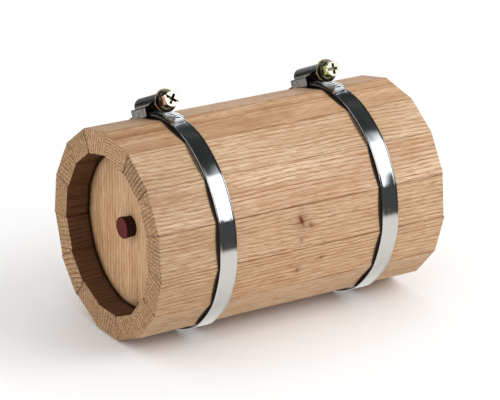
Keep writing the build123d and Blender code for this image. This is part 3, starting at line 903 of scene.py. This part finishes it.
strip_thickness = 0.75
rim_width = 0.7
rim_height = 0.15
strip_crown = 0.05  # the strip's outer face is very slightly rounded across
stations_per_span = 16
band_radius = 50.05
band_dip = 0.3  # the strip runs this much flatter between two stave corners
round_spans = (0, 1, 13, 14)  # under the clamp the strip follows a true circle
flat_span = 8  # the keg rests on this one
crease_angle = 108.5  # a crease across the strip, just past its slotted end, and its size
crease_width = 0.35
crease_height = 0.05
crease_slant = 0.03


def strip_profile(half_width):
    """The strip's left edge in section, (across, up) from the middle of its underside."""
    edge = 0.14
    sunk = strip_thickness - rim_height
    top = strip_thickness - 0.005
    return [
        (-half_width + edge, 0.0), (-half_width + 0.04, 0.04), (-half_width, edge),
        (-half_width, top - 0.22), (-half_width + 0.06, top - 0.07), (-half_width + 0.22, top),
        (-half_width + rim_width - 0.22, top), (-half_width + rim_width - 0.06, top - 0.05),
        (-half_width + rim_width + 0.06, sunk), (-half_width + rim_width + 0.2, sunk - 0.01),
    ]


def band_radius_at(angle):
    """Radius of the band's underside: it bends over the corners and runs flatter between."""
    span = (angle - first_corner) / stave_angle
    index = int(span) % stave_count
    share = span - math.floor(span)
    if index in round_spans:
        return band_radius
    if index == flat_span:
        half = math.radians(stave_angle / 2)
        flat = (band_radius + strip_thickness) * math.cos(half)
        return flat / math.cos(math.radians((share - 0.5) * stave_angle)) - strip_thickness
    return band_radius - band_dip * 4 * share * (1 - share)


def make_band(side, material):
    node = side + "_hoop_band"
    low, high = box_mm(node)
    middle = (low.x + high.x) / 2
    half_width = (high.x - low.x) / 2
    left = strip_profile(half_width)
    right = [(-a, b) for a, b in reversed(left)]
    flat_half = half_width - rim_width - 0.2
    crown = []
    for share in (-0.8, -0.6, -0.4, -0.2, 0.0, 0.2, 0.4, 0.6, 0.8):
        up = strip_thickness - rim_height - 0.01 + strip_crown * (1 - share**2)
        crown.append((share * flat_half, up))
    under = [(share * half_width, 0.0) for share in (0.5, 0.0, -0.5)]
    section = left + crown + right + under
    count = stave_count * stations_per_span
    angles = [first_corner + 360 * station / count for station in range(count)]
    angles += [crease_angle + step * crease_width for step in (-1.0, -0.5, 0.0, 0.5, 1.0)]
    angles.sort()
    stations = len(angles)
    points = []
    for angle in angles:
        inside = band_radius_at(angle % 360 + (360 if angle % 360 < first_corner else 0))
        for across, up in section:
            off_crease = abs(angle - crease_angle - crease_slant * across) / crease_width
            up += crease_height * max(0.0, 1 - off_crease) if up > strip_thickness / 2 else 0.0
            points.append(polar(inside + up, angle, middle + across))
    faces = []
    size = len(section)
    for station in range(stations):
        a, b = station * size, ((station + 1) % stations) * size
        for i in range(size):
            j = (i + 1) % size
            faces.append((a + i, a + j, b + j, b + i))
    new_piece(side + "_hoop_strip", points, faces, material, node, "keg")


def refined(node, name, material, body, edge):
    """The CAD node's own shape with its edges broken, as pressing and turning leave them."""
    mesh = nodes[node].data.copy()
    mesh.name = name
    bm = bmesh.new()
    bm.from_mesh(mesh)
    bmesh.ops.remove_doubles(bm, verts=bm.verts, dist=1e-7)
    flat_enough = math.radians(0.3)
    bmesh.ops.dissolve_limit(bm, angle_limit=flat_enough, verts=bm.verts, edges=bm.edges)
    bmesh.ops.recalc_face_normals(bm, faces=bm.faces)
    for face in bm.faces:
        face.smooth = True
    bm.to_mesh(mesh)
    bm.free()
    mesh.materials.clear()
    mesh.materials.append(material)
    piece = add_piece(name, mesh, node, body)
    bevel = piece.modifiers.new("broken_edges", "BEVEL")
    bevel.width = edge * MM
    bevel.segments = 2
    bevel.limit_method = "ANGLE"
    bevel.angle_limit = math.radians(35.0)
    shading = piece.modifiers.new("flat_faces_stay_flat", "WEIGHTED_NORMAL")
    shading.keep_sharp = True


def make_hoops():
    # Coppery pink and yellow-green: the tints that the plating takes here and there, painted
    # again as a reflection on the screw's faces turned to -X.
    tints = {"front": (0.86, 0.46, 0.34, 1), "rear": (0.62, 0.66, 0.26, 1)}
    for number, side in enumerate(("front", "rear")):
        make_band(side, strip_material("strip_" + side, number * 7.0, 0.06))
        hoop = side + "_hoop_"
        hoop_x = hoop_middles[number]
        steel = strip_material("tail_" + side, number * 7.0 + 3, 0.16)
        refined(hoop + "tail", hoop + "slotted_end", steel, side + "_tail", 0.06)
        steel = housing_material("pressed_" + side, number + 1, hoop_x)
        refined(hoop + "housing", hoop + "tunnel", steel, "keg", 0.12)
        plating = plating_material("plating_" + side, number + 1, tints[side], hoop_x)
        refined(hoop + "screw", hoop + "worm_screw", plating, side + "_screw", 0.1)


# ---------------------------------------------------------------- studio


def direction(azimuth, elevation):
    """A unit vector; azimuth 0 looks towards -Y, 90 towards +X, in degrees."""
    a, e = math.radians(azimuth), math.radians(elevation)
    return Vector((math.sin(a) * math.cos(e), -math.cos(a) * math.cos(e), math.sin(e)))


def hide_from(obj, *rays):
    for ray in rays:
        setattr(obj, "visible_" + ray, False)


def stage_object(name, mesh, material):
    obj = bpy.data.objects.new(name, mesh)
    bpy.context.scene.collection.objects.link(obj)
    mesh.materials.append(material)
    return obj


def make_world():
    world = bpy.data.worlds.new("studio")
    bpy.context.scene.world = world
    world.use_nodes = True
    background = world.node_tree.nodes["Background"]
    background.inputs[0].default_value = (1, 1, 1, 1)
    background.inputs[1].default_value = 0.96


def make_key_light():
    data = bpy.data.lights.new("key", "AREA")
    data.shape = "RECTANGLE"
    data.size, data.size_y = 0.9, 0.7
    data.energy = 8.0
    key = bpy.data.objects.new("key", data)
    bpy.context.scene.collection.objects.link(key)
    away = direction(44, 36)
    key.location = axis_centre * MM + away * 1.3
    key.rotation_mode = "QUATERNION"
    key.rotation_quaternion = away.to_track_quat("Z", "Y")
    hide_from(key, "glossy", "camera")


def make_floor():
    mesh = bpy.data.meshes.new("floor")
    reach = 8.0
    corners = [(-reach, -reach, 0), (reach, -reach, 0), (reach, reach, 0), (-reach, reach, 0)]
    mesh.from_pydata(corners, [], [(0, 1, 2, 3)])
    paper = {"Base_Color": (0.9, 0.9, 0.9, 1), "Roughness": 0.95, "Specular_IOR_Level": 0.1}
    floor = stage_object("floor", mesh, new_material("floor_paper", **paper)[0])
    hide_from(floor, "glossy")


def sphere_mesh(name, segments, radius):
    mesh = bpy.data.meshes.new(name)
    bm = bmesh.new()
    bmesh.ops.create_uvsphere(bm, u_segments=segments, v_segments=segments // 2, radius=radius)
    bm.to_mesh(mesh)
    bm.free()
    return mesh


def glowing_material(name):
    """A material that only glows; returns it, its node helper and its shader."""
    material = bpy.data.materials.new(name)
    material.use_nodes = True
    tree = material.node_tree
    tree.nodes.clear()
    emission = tree.nodes.new("ShaderNodeEmission")
    out = tree.nodes.new("ShaderNodeOutputMaterial")
    tree.links.new(emission.outputs[0], out.inputs[0])
    return material, Nodes(tree), emission


def make_backdrop():
    """A plain white paper behind everything, that only the camera sees."""
    material = glowing_material("backdrop_paper")[0]
    backdrop = stage_object("backdrop", sphere_mesh("backdrop", 32, 28.0), material)
    hide_from(backdrop, "glossy", "diffuse", "shadow", "transmission")


def make_reflections():
    """A far shell that only gloss sees: soft boxes, a dark flag and a grey floor."""
    material, n, emission = glowing_material("reflected_room")
    place = n.vector("NORMALIZE", n.make("TexCoord", output=3))
    x, y, z = n.parts(place)
    to_degrees = 180 / math.pi
    azimuth = n.make("Math", {0: x, 1: n.times(y, -1.0)}, operation="ARCTAN2")
    azimuth = n.times(azimuth, to_degrees)
    elevation = n.times(n.unary("ARCSINE", z), to_degrees)

    def between(value, low, high, soft_low, soft_high):
        return n.times(n.edge(value, low, soft_low), n.inverse(n.edge(value, high, soft_high)))

    def box(azimuth_range, elevation_range, soft, strength, foot_at=None):
        """
        A soft-edged window of light; soft is the edge width at the sides, foot and top.
        Its foot rises either side of foot_at, where that azimuth is given.
        """
        turned_azimuth = n.subtract(azimuth, sum(azimuth_range) / 2)
        wrapped = n.make("Math", {0: turned_azimuth, 1: -180.0, 2: 180.0}, operation="WRAP")
        half = (azimuth_range[1] - azimuth_range[0]) / 2
        sideways = between(wrapped, -half, half, soft[0], soft[0])
        above = elevation
        if foot_at is not None:
            aside = n.subtract(azimuth, foot_at)
            rise = n.largest(n.times(aside, -3.6), n.times(aside, 2.2))
            rise = n.make("Math", {0: rise, 1: 13.0}, operation="MINIMUM")
            low_part = n.inverse(n.smooth(elevation, 25.0, 45.0))
            above = n.subtract(elevation, n.times(rise, low_part))
        upward = between(above, elevation_range[0], elevation_range[1], soft[1], soft[2])
        return n.times(n.times(sideways, upward), strength)

    glow = box((12, 72), (9.5, 52), (3, 1.5, 6), 1.7, foot_at=31.0)
    glow = n.add(glow, box((136, 162), (-2, 31), (5, 4, 3), 1.15))
    glow = n.add(glow, box((-130, -72), (16, 50), (5, 3, 8), 1.3))
    glow = n.add(glow, box((-215, -150), (8, 40), (8, 4, 8), 0.5))
    from_haze = n.unary("ABSOLUTE", n.subtract(elevation, 50))
    haze = n.times(n.unary("EXPONENT", n.times(from_haze, -0.12)), 0.05)
    ground = n.times(n.inverse(n.smooth(elevation, -17.0, -14.0)), 0.82)
    # Straight down the reflected floor is darker: a painted shadow under the keg.
    reflected_floor_shadow = n.inverse(n.times(n.inverse(n.smooth(elevation, -85.0, -40.0)), 0.5))
    ground = n.times(ground, reflected_floor_shadow)
    flag = n.times(box((-10, 80), (-14, 16), (12, 2, 6), 1.0), 0.045)
    total = n.add(n.add(glow, haze), n.add(ground, n.add(flag, 0.022)))
    warm = n.mix(n.smooth(elevation, -18.0, 0.0), (1.0, 0.965, 0.91, 1), (0.93, 0.98, 1.0, 1))
    n.tree.links.new(warm, emission.inputs["Color"])
    n.tree.links.new(total, emission.inputs["Strength"])
    shell = stage_object("reflected_room", sphere_mesh("reflected_room", 64, 30.0), material)
    hide_from(shell, "camera", "diffuse", "shadow", "transmission")


def make_camera():
    """From the front left, looking down, a little rolled."""
    azimuth, elevation, roll = -32.86, 20.716, math.radians(0.704)
    back = direction(azimuth, elevation)
    right = (-back).cross(Vector((0, 0, 1))).normalized()
    up = back.cross(right)
    tilted_right = math.cos(roll) * right + math.sin(roll) * up
    tilted_up = math.cos(roll) * up - math.sin(roll) * right
    aside = 0.0001 * tilted_right + 0.0019 * tilted_up
    place = axis_centre * MM + 1.15716 * back + aside
    data = bpy.data.cameras.new("camera")
    data.sensor_width = 36.0
    data.lens = 176.27
    data.clip_start, data.clip_end = 0.05, 100
    camera = bpy.data.objects.new("camera", data)
    turn = Matrix((tilted_right, tilted_up, back)).transposed()
    camera.matrix_world = Matrix.Translation(place) @ turn.to_4x4()
    bpy.context.scene.collection.objects.link(camera)
    bpy.context.scene.camera = camera


make_barrel()
make_heads()
make_stopper()
make_hoops()
make_world()
make_key_light()
make_floor()
make_backdrop()
make_reflections()
make_camera()
bpy.context.scene.view_settings.view_transform = "Standard"
